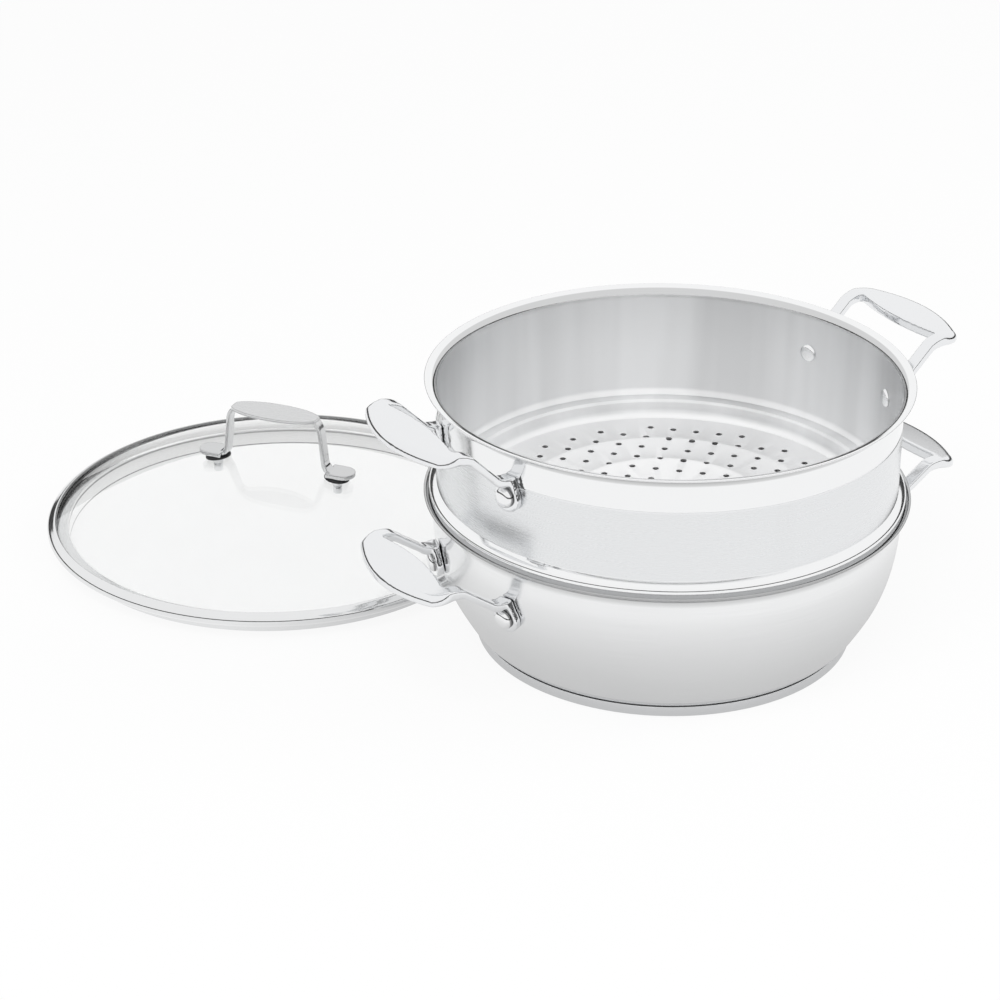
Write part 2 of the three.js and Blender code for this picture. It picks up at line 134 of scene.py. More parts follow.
# Painted shadow on the floor in the steel's mirror: from the near to the far distance it rises from
# a dim share to white.
PAINTED_SHADOW_NEAR, PAINTED_SHADOW_FAR, PAINTED_SHADOW_DIM = 0.11, 0.26, 0.62
ROOM_LIGHT = 0.62
LAMP_AIM = (0, 0, 0.08)
LAMPS = (("key", (-1.2, -0.9, 2.0), 1.4, 26.0), ("fill", (1.6, -1.0, 1.3), 1.2, 13.0))
SKIRTING_RADIUS, SKIRTING_HEIGHT, SKIRTING_GREY = 2.2, 0.5, 0.06
CAMERA_PLACE = (-0.8197, -1.2153, 0.8009)
CAMERA_TURN = (math.radians(63.78), 0, math.radians(-30.22))
CAMERA_LENS = 100.8


def length_size(name, description, default):
    """A length that a user may change, in metres."""
    return FloatProperty(name=name, description=description, default=default, unit="LENGTH")


def angle_size(name, description, degrees):
    """An angle that a user may change."""
    return FloatProperty(
        name=name, description=description, default=math.radians(degrees), subtype="ANGLE")


def tint(name, description, *default):
    """A colour that a user may change."""
    return FloatVectorProperty(
        name=name, description=description, default=default, size=3, subtype="COLOR")


class PanSizes(bpy.types.PropertyGroup):
    """Sizes of the pan, its steamer and its lid."""

    rim_radius: length_size("Rim radius", "Outer radius of the steamer's lip", 0.140)
    sheet: length_size("Sheet", "Thickness of the pressed steel", 0.0012)
    base_radius: length_size("Base radius", "Radius of the disc base", 0.1106)
    pan_rim_z: length_size("Pan rim height", "Height of the pan's rim", 0.0902)
    steamer_rim_z: length_size("Steamer rim height", "Height of the steamer's lip", 0.1604)
    hole_radius: length_size("Hole radius", "Radius of a steam hole", 0.0019)
    hole_pitch: length_size("Hole pitch", "Distance between steam holes", 0.0142)
    hole_turn: angle_size("Hole turn", "Turn of the hole grid", -44)
    lid_centre: FloatVectorProperty(
        name="Lid centre", description="Where the lid lies", default=(-0.14371, 0.22241),
        size=2, unit="LENGTH")
    lid_turn: angle_size("Lid turn", "Turn of the lid's handle", -53)
    lid_radius: length_size("Lid radius", "Radius of the lid's band", 0.14495)
    glass_top: length_size("Glass top", "Height of the glass dome", 0.0475)
    facets: IntProperty(
        name="Facets", description="Faces round each turned piece", default=160, min=16)
    voxel: length_size("Casting grain", "Size of the cells that fuse a cast piece", 0.00062)


class PanFinishes(bpy.types.PropertyGroup):
    """Colours of the pan's finishes and of the stage."""

    brushed: tint("Brushed steel", "Colour of the brushed wall", 0.84, 0.85, 0.86)
    polished: tint("Polished steel", "Colour of mirror-polished steel", 0.89, 0.895, 0.9)
    satin: tint("Satin steel", "Colour of the satin inside", 0.9, 0.905, 0.91)
    band: tint("Lid band", "Colour of the band round the lid's glass", 0.82, 0.825, 0.83)
    # Painted shade: the legs' colour is a darker copy of polished steel.
    leg: tint("Strap legs", "Colour of the lid handle's legs and feet", 0.64, 0.645, 0.65)
    # Painted light: the pierced floor is a paler copy of the satin steel.
    sieve: tint("Pierced floor", "Colour of the steamer's floor", 0.99, 0.992, 0.995)
    deck: tint("Strap deck", "Colour of the lid handle's brushed deck", 0.72, 0.725, 0.73)
    aluminium: tint("Aluminium", "Colour of the core in the base", 0.72, 0.73, 0.74)
    glass: tint("Glass", "Tint of the lid's glass", 0.92, 0.925, 0.925)
    silicone: tint("Silicone", "Colour of the gaskets", 0.012, 0.012, 0.013)
    floor: tint("Floor", "Colour of the floor", 0.92, 0.92, 0.92)


def sizes():
    """The sizes in millimetres, with those that follow from them."""
    kept = bpy.context.scene.pan_sizes
    names = ("rim_radius", "sheet", "base_radius", "pan_rim_z", "steamer_rim_z", "hole_radius",
             "hole_pitch", "lid_radius", "glass_top", "voxel")
    got = {name: getattr(kept, name) / MM for name in names}
    got["pan_rim_radius"] = got["rim_radius"] + 1
    got["steamer_wall"] = got["rim_radius"] - STEAMER_LIP
    got["pan_wall"] = got["pan_rim_radius"] - PAN_LIP
    got["floor_z"] = got["pan_rim_z"] - FLOOR_DROP
    got["pan_rivet_z"] = got["pan_rim_z"] - PAN_RIVET_DROP
    got["steamer_rivet_z"] = got["steamer_rim_z"] - STEAMER_RIVET_DROP
    got["glass_radius"] = got["lid_radius"] - BAND_EDGE
    got["lid_skirt"] = got["rim_radius"] - SKIRT_INSET
    got["band_in"] = got["glass_radius"] - BAND_LAP
    return got


def finish(name):
    """One of the finishes' colours."""
    return tuple(getattr(bpy.context.scene.pan_finishes, name))


def smooth_through(points, steps=6):
    """Points along a smooth curve that passes through the given ones."""
    ends = [points[0], *points, points[-1]]
    curve = []
    for near in zip(ends, ends[1:], ends[2:], ends[3:]):
        for step in range(steps):
            t = step / steps
            weights = (-t + 2 * t * t - t ** 3, 2 - 5 * t * t + 3 * t ** 3,
                       t + 4 * t * t - 3 * t ** 3, t ** 3 - t * t)
            curve.append(tuple(sum(w * p[i] for w, p in zip(weights, near)) / 2 for i in (0, 1)))
    return curve + [points[-1]]


def bend(start, control, end, steps=14):
    """Points along a bend from start to end, drawn towards control; the start is left out."""
    return [tuple((1 - t) ** 2 * s + 2 * t * (1 - t) * c + t * t * e
                  for s, c, e in zip(start, control, end))
            for t in (step / steps for step in range(1, steps + 1))]


def arch(start, first, second, end, steps):
    """Points along an arch from start to end, both kept, drawn towards two controls."""
    return [tuple((1 - t) ** 3 * a + 3 * t * (1 - t) ** 2 * b + 3 * t * t * (1 - t) * c + t ** 3 * d
                  for a, b, c, d in zip(start, first, second, end))
            for t in (step / steps for step in range(steps + 1))]


def bowl_curve(size):
    """The bowl's outside, from the base's edge to the wall under the lip."""
    low = (size["base_radius"], BASE_HEIGHT + FIT + BOWL_FOOT)
    high = (size["pan_wall"], size["pan_rim_z"] - BOWL_WALL_DROP)
    marks = [(low[0] + (high[0] - low[0]) * out, low[1] + (high[1] - low[1]) * up)
             for out, up in BOWL_CURVE]
    return smooth_through([low, *marks])


def bowl_seat(size):
    """Radius and lean of the bowl's wall at the pan's rivets."""
    marks = bowl_curve(size)
    above = next(i for i, mark in enumerate(marks) if mark[1] > size["pan_rivet_z"])
    (r0, z0), (r1, z1) = marks[above - 1], marks[above]
    slope = (r1 - r0) / (z1 - z0)
    return r0 + slope * (size["pan_rivet_z"] - z0), math.atan(slope)


def seats(size):
    """Owner, wall radius, height and lean where each pair of loop handles sits."""
    radius, lean = bowl_seat(size)
    return (("pan", radius, size["pan_rivet_z"], lean),
            ("steamer", size["steamer_wall"], size["steamer_rivet_z"], 0.0))


def rivet_turn(wall, side):
    """How far round the axis a rivet sits."""
    return math.asin(ARM_SPREAD / (wall + EAR_THICK)) * side


def dome_fall(size):
    """How fast the glass dome falls with the square of the distance from its axis."""
    return (size["glass_top"] - GLASS_EDGE) / size["band_in"] ** 2


def dome_top(size, radius):
    """Height of the glass dome's top at a distance from the lid's axis."""
    return size["glass_top"] - dome_fall(size) * radius * radius


def moved(x=0.0, y=0.0, z=0.0):
    """A shift in millimetres."""
    return Matrix.Translation((x * MM, y * MM, z * MM))


def about_z(angle):
    """A turn about the upright axis."""
    return Matrix.Rotation(angle, 4, "Z")


def on_edge():
    """Turns an outline of (x, height) upright, with its thickness towards -Y."""
    return Matrix.Rotation(math.pi / 2, 4, "X")


def leaning(wall, height, tilt):
    """Leans a piece built on an upright wall to stand square on a sloping one."""
    return moved(wall, 0, height) @ Matrix.Rotation(tilt, 4, "Y") @ moved(-wall, 0, -height)


def on_lid():
    """From the lid's own axis to the place where the lid lies."""
    kept = bpy.context.scene.pan_sizes
    return Matrix.Translation((*kept.lid_centre, 0)) @ about_z(kept.lid_turn)


def laid(bm, place):
    """A bmesh moved to its place."""
    bmesh.ops.transform(bm, matrix=place, verts=bm.verts)
    return bm


def tidied(bm):
    """Merges what coincides and turns every face outwards."""
    bmesh.ops.remove_doubles(bm, verts=bm.verts, dist=1e-6)
    bmesh.ops.dissolve_degenerate(bm, edges=bm.edges, dist=1e-7)
    bmesh.ops.recalc_face_normals(bm, faces=bm.faces)
    return bm


def turned(outline, facets=None, corner=0.0):
    """A bmesh turned about the upright axis from an outline of (radius, height), millimetres."""
    bm = bmesh.new()
    line = [bm.verts.new((r * MM, 0, z * MM)) for r, z in outline]
    pairs = list(zip(line, line[1:]))
    if max(outline[0][0], outline[-1][0]) > 0:
        pairs.append((line[-1], line[0]))
    for pair in pairs:
        bm.edges.new(pair)
    if corner:
        off_axis = [v for v in line if v.co.x > 1e-6]
        bmesh.ops.bevel(bm, geom=off_axis, offset=corner * MM, affect="VERTICES", segments=3,
                        profile=0.5, material=-1, clamp_overlap=True)
    bmesh.ops.spin(bm, geom=bm.verts[:] + bm.edges[:], cent=(0, 0, 0), axis=(0, 0, 1),
                   angle=FULL_TURN, steps=facets or bpy.context.scene.pan_sizes.facets,
                   use_merge=True, use_duplicate=False)
    return tidied(bm)


def plate(outline, thickness, place):
    """A bmesh of a flat plate: an outline of (x, y) raised by a thickness, in millimetres."""
    bm = bmesh.new()
    face = bm.faces.new([bm.verts.new((x * MM, y * MM, 0)) for x, y in outline])
    raised = bmesh.ops.extrude_face_region(bm, geom=[face])
    tops = [g for g in raised["geom"] if isinstance(g, bmesh.types.BMVert)]
    bmesh.ops.translate(bm, verts=tops, vec=(0, 0, thickness * MM))
    bmesh.ops.recalc_face_normals(bm, faces=bm.faces)
    return laid(bm, place)


def rod(radius, depth, place, segments):
    """A bmesh of a closed upright rod about its own middle, in millimetres."""
    bm = bmesh.new()
    bmesh.ops.create_cone(bm, cap_ends=True, segments=segments, radius1=radius * MM,
                          radius2=radius * MM, depth=depth * MM, matrix=place)
    return bm


def joined(parts):
    """One bmesh from several, left as separate shells."""
    whole = bmesh.new()
    for part in parts:
        mesh = bpy.data.meshes.new("part")
        part.to_mesh(mesh)
        part.free()
        whole.from_mesh(mesh)
        bpy.data.meshes.remove(mesh)
    return whole


def made_object(bm, name):
    """An object in the scene that takes over a bmesh."""
    mesh = bpy.data.meshes.new(name)
    bm.to_mesh(mesh)
    bm.free()
    thing = bpy.data.objects.new(name, mesh)
    bpy.context.collection.objects.link(thing)
    return thing


def discard(thing):
    """Removes an object and its mesh."""
    mesh = thing.data
    bpy.data.objects.remove(thing)
    bpy.data.meshes.remove(mesh)


def settled(thing):
    """The bmesh that an object's modifiers give; the object is removed."""
    bpy.context.view_layer.update()
    bm = bmesh.new()
    bm.from_object(thing, bpy.context.evaluated_depsgraph_get())
    discard(thing)
    return bm


def pierced(bm, drill):
    """A bmesh with the drill's shells cut out of it."""
    body = made_object(bm, "body")
    tool = made_object(drill, "drill")
    cut = body.modifiers.new("Holes", "BOOLEAN")
    cut.operation = "DIFFERENCE"
    cut.solver = "EXACT"
    cut.object = tool
    result = settled(body)
    discard(tool)
    return tidied(result)


def cast(parts, voxel, rounds):
    """Fuses overlapping shells into one casting with softly rounded edges."""
    thing = made_object(joined(parts), "casting")
    fuse = thing.modifiers.new("Fuse", "REMESH")
    fuse.mode = "VOXEL"
    fuse.voxel_size = voxel * MM
    bm = settled(thing)
    for _ in range(rounds):
        bmesh.ops.smooth_vert(bm, verts=bm.verts, factor=0.5,
                              use_axis_x=True, use_axis_y=True, use_axis_z=True)
    return tidied(bm)


def finished(bm, name, body, material, node, crease=TURNED_CREASE):
    """Makes a bmesh a piece that rides on its body, stands for its CAD node and has its finish."""
    piece = made_object(bm, name)
    piece.data.shade_smooth()
    piece.data.set_sharp_from_angle(angle=math.radians(crease))
    piece.data.materials.append(material)
    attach(piece, body)
    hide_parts(node)


def darker(colour, share):
    """A share of a colour."""
    return tuple(channel * share for channel in colour)


class Shade:
    """A small hand for laying out a node tree."""

    def __init__(self, tree):
        self.tree = tree

    def add(self, kind, **settings):
        """A new node with its settings."""
        made = self.tree.nodes.new(kind)
        for name, value in settings.items():
            setattr(made, name, value)
        return made

    def join(self, source, target):
        """A link between two sockets."""
        self.tree.links.new(source, target)

    def feed(self, value, target):
        """A link where the value is a socket, and a plain value where it isn't."""
        if hasattr(value, "links"):
            self.join(value, target)
        else:
            target.default_value = value

    def math(self, operation, first, second=0.0):
        """A sum of one or two values."""
        made = self.add("ShaderNodeMath", operation=operation)
        for value, socket in zip((first, second), made.inputs):
            self.feed(value, socket)
        return made.outputs[0]

    def vector(self, operation, first, second=None):
        """A sum on a vector."""
        made = self.add("ShaderNodeVectorMath", operation=operation)
        self.join(first, made.inputs[0])
        if second is not None:
            made.inputs[1].default_value = second
        return made.outputs["Value" if operation == "LENGTH" else "Vector"]

    def span(self, value, low, high, to_low, to_high):
        """A value moved from one range to another and held there."""
        made = self.add("ShaderNodeMapRange")
        names = ("Value", "From Min", "From Max", "To Min", "To Max")
        for name, number in zip(names, (value, low, high, to_low, to_high)):
            self.feed(number, made.inputs[name])
        return made.outputs[0]

    def mask(self, value, none, full):
        """From 0 to 1 between two places in millimetres."""
        return self.span(value, none * MM, full * MM, 0.0, 1.0)

    def vary(self, pattern, low, high):
        """A value that follows a noise pattern between two limits."""
        return self.span(pattern, 0.3, 0.7, low, high)

    def mix(self, kind, word, mask, first, second):
        """What is first where the mask is 0 and second where it is 1."""
        made = self.add("ShaderNodeMix", data_type=kind)
        for name, value in (("Factor_Float", mask), (f"A_{word}", first), (f"B_{word}", second)):
            socket = next(s for s in made.inputs if s.identifier == name)
            self.feed((*value, 1) if isinstance(value, tuple) else value, socket)
        return next(s for s in made.outputs if s.identifier == f"Result_{word}")

    def blend(self, mask, first, second):
        """One colour over to another."""
        return self.mix("RGBA", "Color", mask, first, second)

    def mingle(self, mask, first, second):
        """One value over to another."""
        return self.mix("FLOAT", "Float", mask, first, second)

    def tone(self, pattern, colour, share):
        """A colour that falls to a share of itself where the pattern is 0."""
        return self.blend(pattern, darker(colour, share), colour)

    def noise(self, vector, scale, detail=3.0):
        """A noise pattern."""
        made = self.add("ShaderNodeTexNoise")
        made.inputs["Scale"].default_value = scale
        made.inputs["Detail"].default_value = detail
        self.join(vector, made.inputs["Vector"])
        return made.outputs["Fac"]

    def mapped(self, vector, kind="POINT", **settings):
        """Coordinates that are shifted, turned or scaled."""
        made = self.add("ShaderNodeMapping", vector_type=kind)
        for name, value in settings.items():
            made.inputs[name].default_value = value
        self.join(vector, made.inputs["Vector"])
        return made.outputs[0]

    def parts(self, vector):
        """The three parts of a vector."""
        made = self.add("ShaderNodeSeparateXYZ")
        self.join(vector, made.inputs[0])
        return made.outputs

    def radius(self, x, y):
        """Distance from the upright axis."""
        squares = [self.math("MULTIPLY", part, part) for part in (x, y)]
        return self.math("SQRT", self.math("ADD", *squares))


def group_started(name, outputs, **inputs):
    """A new node group that reads a vector, with a hand on its tree, its input and its output."""
    made = bpy.data.node_groups.new(name, "ShaderNodeTree")
    made.interface.new_socket("Vector", in_out="INPUT", socket_type="NodeSocketVector")
    for word, value in inputs.items():
        socket = made.interface.new_socket(word, in_out="INPUT", socket_type="NodeSocketFloat")
        socket.default_value = value
    for word in outputs:
        made.interface.new_socket(word, in_out="OUTPUT", socket_type="NodeSocketFloat")
    shade = Shade(made)
    come, go = shade.add("NodeGroupInput"), shade.add("NodeGroupOutput")
    return made, shade, come.outputs, go.inputs


def brush_group():
    """Fine lines that run round the upright axis, and the soft cloud of handling over them."""
    name, stretch = "Brush lines", 26.0
    if name in bpy.data.node_groups:
        return bpy.data.node_groups[name]
    made, shade, come, go = group_started(name, ("Lines", "Cloud"), Lines=2600.0)
    x, y, z = shade.parts(come["Vector"])
    across = shade.math("ADD", shade.radius(x, y), z)
    bundle = shade.add("ShaderNodeCombineXYZ")
    shade.join(shade.math("MULTIPLY", x, stretch), bundle.inputs[0])
    shade.join(shade.math("MULTIPLY", y, stretch), bundle.inputs[1])
    shade.join(shade.math("MULTIPLY", across, come["Lines"]), bundle.inputs[2])
    shade.join(shade.noise(bundle.outputs[0], 1.0, 4.0), go["Lines"])
    shade.join(shade.noise(come["Vector"], 14.0, 2.0), go["Cloud"])
    return made


def smudge_group():
    """Faint handling marks and the fine orange peel of polishing."""
    name = "Polish marks"
    if name in bpy.data.node_groups:
        return bpy.data.node_groups[name]
    made, shade, come, go = group_started(name, ("Smudge", "Peel"))
    shade.join(shade.noise(come["Vector"], 38.0, 4.0), go["Smudge"])
    shade.join(shade.noise(come["Vector"], 420.0, 2.0), go["Peel"])
    return made


def started(name, metallic=0.0):
    """A new material with its Principled shader, its Object coordinates and a hand on its tree."""
    material = bpy.data.materials.new(name)
    material.use_nodes = True
    shade = Shade(material.node_tree)
    shader = next(n for n in material.node_tree.nodes if n.type == "BSDF_PRINCIPLED")
    shader.inputs["Metallic"].default_value = metallic
    place = shade.add("ShaderNodeTexCoord").outputs["Object"]
    return material, shade, shader, place


def grouped(shade, group, vector):
    """A node group placed in a material."""
    made = shade.add("ShaderNodeGroup", node_tree=group)
    shade.join(vector, made.inputs["Vector"])
    return made


def about_lid(shade, place):
    """Object coordinates moved to the lid's axis."""
    x, y = bpy.context.scene.pan_sizes.lid_centre
    return shade.mapped(place, Location=(-x, -y, 0))


def coat(shade, shader, colour, rough):
    """Gives a shader its colour and roughness."""
    shade.join(colour, shader.inputs["Base Color"])
    shade.join(rough, shader.inputs["Roughness"])


def bump(shade, shader, height, strength, distance):
    """Gives a shader its fine relief."""
    made = shade.add("ShaderNodeBump")
    made.inputs["Strength"].default_value = strength
    made.inputs["Distance"].default_value = distance
    shade.join(height, made.inputs["Height"])
    shade.join(made.outputs["Normal"], shader.inputs["Normal"])


def mixed(shade, share, first, second):
    """Sends a mix of two shaders to the material's output."""
    either = shade.add("ShaderNodeMixShader")
    for source, target in zip((share, first.outputs[0], second.outputs[0]), either.inputs):
        shade.join(source, target)
    out = next(n for n in shade.tree.nodes if n.type == "OUTPUT_MATERIAL")
    shade.join(either.outputs[0], out.inputs["Surface"])


def polish(shade, smudge, colour):
    """Colour and roughness of mirror-polished steel."""
    return shade.tone(smudge, colour, POLISH_TONE), shade.vary(smudge, *POLISH_ROUGH)


def polished_material():
    """Mirror-polished steel with faint polishing marks."""
    name = "polished_steel"
    if name in bpy.data.materials:
        return bpy.data.materials[name]
    material, shade, shader, place = started(name, 1.0)
    smudge, peel = grouped(shade, smudge_group(), place).outputs
    coat(shade, shader, *polish(shade, smudge, finish("polished")))
    bump(shade, shader, peel, *PEEL)
    return material


def rivet_material(owner, wall, height, tilt):
    """Polished rivets with a dark ring of painted shade at each head's foot; one rivet stands for
    all four.
    """
    colour = finish("polished")
    material, shade, shader, place = started(f"{owner}_rivet_polish", 1.0)
    smudge, peel = grouped(shade, smudge_group(), place).outputs
    turn = leaning(wall, height, tilt) @ about_z(rivet_turn(wall, 1))
    centre = turn @ Vector((wall * MM, 0, height * MM))
    along = turn.to_3x3() @ Vector((1, 0, 0))
    offset = shade.vector("SUBTRACT", shade.vector("ABSOLUTE", place), centre)
    reach = shade.vector("LENGTH", shade.vector("CROSS_PRODUCT", offset, along))
    # Painted shade: a dark ring where each rivet head meets its ear, for the shade in that gap.
    foot = shade.mask(reach, RIVET_HEAD * 0.95, RIVET_HEAD * 0.985)
    steel, rough = polish(shade, smudge, colour)
    coat(shade, shader, shade.blend(foot, steel, darker(colour, PAINTED_SHADE_LINE)), rough)
    bump(shade, shader, peel, *PEEL)
    return material


def band_material(size):
    """Polished band with painted shade by the glass and at the skirt's foot and seat, and a skirt
    painted light.
    """
    colour = finish("band")
    skirt, sheet, inner = size["lid_skirt"], size["sheet"], size["band_in"]
    material, shade, shader, place = started("lid_band_polish", 1.0)
    local = about_lid(shade, place)
    smudge, peel = grouped(shade, smudge_group(), local).outputs
    x, y, z = shade.parts(local)
    radius = shade.radius(x, y)
    inside = shade.mask(radius, skirt - 0.5 * sheet, skirt - 0.8 * sheet)
    # Painted shade: dark lines on the skirt's inner face, at its foot and at the seat's crease.
    foot = shade.mask(z, 0.9, 0.5)
    from_seat = shade.math("ABSOLUTE", shade.math("SUBTRACT", z, (LID_SEAT + 0.7) * MM))
    seat = shade.mask(from_seat, 0.7, 0.4)
    painted_edge_shade = shade.math("MULTIPLY", inside, shade.math("MAXIMUM", foot, seat))
    # Painted shade: a dark seam along the glass, where the band's edge meets it.
    near_glass = shade.mask(radius, inner + 1.0, inner + 0.5)
    above = shade.mask(z, LID_SEAT + 3.6, LID_SEAT + 4.0)
    dark = shade.math("MAXIMUM", painted_edge_shade, shade.math("MULTIPLY", near_glass, above))
    steel, smooth = polish(shade, smudge, colour)
    # Painted light: the skirt's inner face is painted nearly white, so that it reads as brightly
    # lit.
    pale = shade.blend(inside, steel, (1, 1, 1))
    rough = shade.mingle(inside, smooth, shade.vary(smudge, 0.3, 0.36))
    coat(shade, shader, shade.blend(dark, pale, darker(colour, PAINTED_SHADE_LINE)), rough)
    bump(shade, shader, peel, *PEEL)
    return material


def strap_material(low, high, end):
    """Polished legs and feet, darkened by painted shade, under a deck brushed along its length and
    bends.
    """
    kept = bpy.context.scene.pan_sizes
    material, shade, shader, place = started("strap_steel", 1.0)
    local = shade.mapped(place, "TEXTURE", Location=(*kept.lid_centre, 0),
                         Rotation=(0, 0, kept.lid_turn))
    smudge = grouped(shade, smudge_group(), local).outputs["Smudge"]
    lines = shade.noise(shade.mapped(local, Scale=(40, 1500, 1)), 1.0)
    x, _, z = shade.parts(local)
    level = shade.mask(z, low + 0.7 * (high - low), high)
    past = shade.mask(shade.math("ABSOLUTE", x), end - 1.5, end + 0.5)
    bent = shade.mask(z, high - STRAP_BEND + 1, high - STRAP_BEND / 2)
    deck = shade.math("MAXIMUM", level, shade.math("MULTIPLY", past, bent))
    # Painted shade: the legs and feet take the darker leg colour.
    legs, smooth = polish(shade, smudge, finish("leg"))
    top = shade.tone(lines, finish("deck"), 0.86)
    rough = shade.mingle(deck, smooth, shade.vary(lines, 0.18, 0.3))
    coat(shade, shader, shade.blend(deck, legs, top), rough)
    bump(shade, shader, shade.math("MULTIPLY", lines, deck), *FINE_LINES)
    return material


def bowl_material(size):
    """Satin-polished bowl with very fine turning lines and a lip darkened by painted shade."""
    colour, rim_z = finish("polished"), size["pan_rim_z"]
    material, shade, shader, place = started("bowl_satin_polish", 1.0)
    brush = grouped(shade, brush_group(), place)
    brush.inputs["Lines"].default_value = 3200.0
    lines, cloud = brush.outputs
    # Painted shade: the lip is darkened all round, for the shade in the gap under the steamer's
    # bead.
    lip = shade.mask(shade.parts(place)[2], rim_z - 4.4, rim_z - 3.2)
    steel = shade.blend(lip, shade.tone(lines, colour, 0.93), darker(colour, 0.58))
    coat(shade, shader, steel, shade.vary(cloud, 0.13, 0.2))
    bump(shade, shader, lines, *FINE_LINES)
    return material


def steamer_material(size):
    """Brushed wall between polished bands outside; satin wall inside, painted shade under the lip,
    and a floor painted paler as painted light.
    """
    wall, rim_z = size["steamer_wall"], size["steamer_rim_z"]
    seat_z, floor_z = size["pan_rim_z"], size["floor_z"]
    polished = finish("polished")
    material, shade, shader, place = started("steamer_brushed_and_polished", 1.0)
    lines, cloud = grouped(shade, brush_group(), place).outputs
    x, y, z = shade.parts(place)
    radius = shade.radius(x, y)
    outside = shade.math("GREATER_THAN", radius, (wall - size["sheet"] * 0.6) * MM)
    above = shade.mask(z, BAND_LINE_Z - 0.3, BAND_LINE_Z + 0.3)
    below = shade.mask(z, seat_z + 7.6, seat_z + 7.0)
    band = shade.math("MULTIPLY", outside, shade.math("MAXIMUM", above, below))
    level = shade.mask(z, floor_z + 3.0, floor_z + 1.0)
    # Painted shade: the inner face under the rolled lip is darkened.
    under_lip = shade.mask(z, rim_z - 7.0, rim_z - 6.0)
    within = shade.mask(radius, wall + 2.2, wall + 1.6)
    painted_lip_shade = shade.math("MULTIPLY", under_lip, within)

    drawn = shade.noise(shade.mapped(place, Scale=(1, 1, 0.06)), 26.0)
    streaks = shade.span(drawn, 0.35, 0.65, 0.0, 1.0)
    # Painted light: the floor is painted paler than the satin wall, for the light it catches from
    # above.
    inside = shade.blend(level, shade.tone(streaks, finish("satin"), 0.84), finish("sieve"))
    unpolished = shade.blend(outside, inside, shade.tone(lines, finish("brushed"), 0.92))
    mirror = shade.blend(painted_lip_shade, polished, darker(polished, 0.72))

    rough_inside = shade.mingle(level, shade.vary(cloud, 0.29, 0.35), shade.vary(cloud, 0.42, 0.5))
    rough_unpolished = shade.mingle(outside, rough_inside, shade.vary(lines, 0.2, 0.3))
    rough = shade.mingle(band, rough_unpolished, shade.vary(cloud, 0.07, 0.1))
    coat(shade, shader, shade.blend(band, unpolished, mirror), rough)
    brushed_only = shade.math("MULTIPLY", lines, shade.math("SUBTRACT", outside, band))
    bump(shade, shader, brushed_only, 0.04, 0.0001)
    return material


def glass_material():
    """Clear tempered glass with the faintest film; lamps shine through it."""
    material, shade, shader, place = started("lid_clear_glass")
    smudge = grouped(shade, smudge_group(), about_lid(shade, place)).outputs["Smudge"]
    shader.inputs["Transmission Weight"].default_value = 1.0
    shader.inputs["IOR"].default_value = 1.46
    coat(shade, shader, shade.tone(smudge, finish("glass"), 0.985), shade.vary(smudge, 0.0, 0.015))
    shadow = shade.add("ShaderNodeLightPath").outputs["Is Shadow Ray"]
    mixed(shade, shadow, shader, shade.add("ShaderNodeBsdfTransparent"))
    return material


def silicone_material():
    """Black silicone, matt and a little dusty."""
    colour = finish("silicone")
    material, shade, shader, place = started("black_silicone")
    smudge, peel = grouped(shade, smudge_group(), place).outputs
    dusty = shade.blend(smudge, colour, darker(colour, 1.8))
    coat(shade, shader, dusty, shade.vary(peel, 0.5, 0.7))
    bump(shade, shader, peel, 0.1, 0.0002)
    return material


def core_material():
    """Rolled aluminium of the core in the base."""
    material, shade, shader, place = started("core_aluminium", 1.0)
    lines = grouped(shade, brush_group(), place).outputs["Lines"]
    coat(shade, shader, shade.tone(lines, finish("aluminium"), 0.85), shade.vary(lines, 0.35, 0.5))
    return material


class PAN_OT_bowl(bpy.types.Operator):
    """Turns the pan's bowl, from its flat bottom to its pouring lip."""

    bl_idname = "pan.bowl"
    bl_label = "Bowl"

    def execute(self, context):
        size = sizes()
        rim, rim_z, wall = size["pan_rim_radius"], size["pan_rim_z"], size["pan_wall"]
        base, sheet = size["base_radius"], size["sheet"]
        low = BASE_HEIGHT + FIT
        flat = base - BOWL_FLAT_INSET
        curve = bowl_curve(size)
        lip = smooth_through([
            (wall + 1, rim_z - 4), (rim - 1.4, rim_z - 1.8), (rim - 0.1, rim_z - 0.9),
            (rim - 0.3, rim_z - 0.1), (rim - 1.2, rim_z - 0.05), (rim - 2.4, rim_z - 1),
            (wall, rim_z - 3)], 4)
        inside = [(r - sheet, z + sheet / 3) for r, z in reversed(curve[2:])]
        floor = [(base - 0.6, low + sheet + 0.8), (flat, low + sheet), (0, low + sheet)]
        bm = turned([(0, low), (flat, low), *curve, *lip, *inside, *floor])
        finished(bm, "pan_bowl", "pan", bowl_material(size), "pan_body")
        return {"FINISHED"}


class PAN_OT_base(bpy.types.Operator):
    """Turns the steel cap of the disc base and finishes the core inside it."""

    bl_idname = "pan.base"
    bl_label = "Base"

    def execute(self, context):
        edge = sizes()["base_radius"]
        bm = turned([(0, 0), (edge, 0), (edge, BASE_HEIGHT), (edge - CAP_SHEET, BASE_HEIGHT),
                     (edge - CAP_SHEET, CAP_SHEET), (0, CAP_SHEET)], corner=CAP_CORNER)
        finished(bm, "pan_disc_cap", "pan", polished_material(), "pan_base_cap")
        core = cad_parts["pan_base_core"]
        core.data.materials.clear()
        core.data.materials.append(core_material())
        return {"FINISHED"}


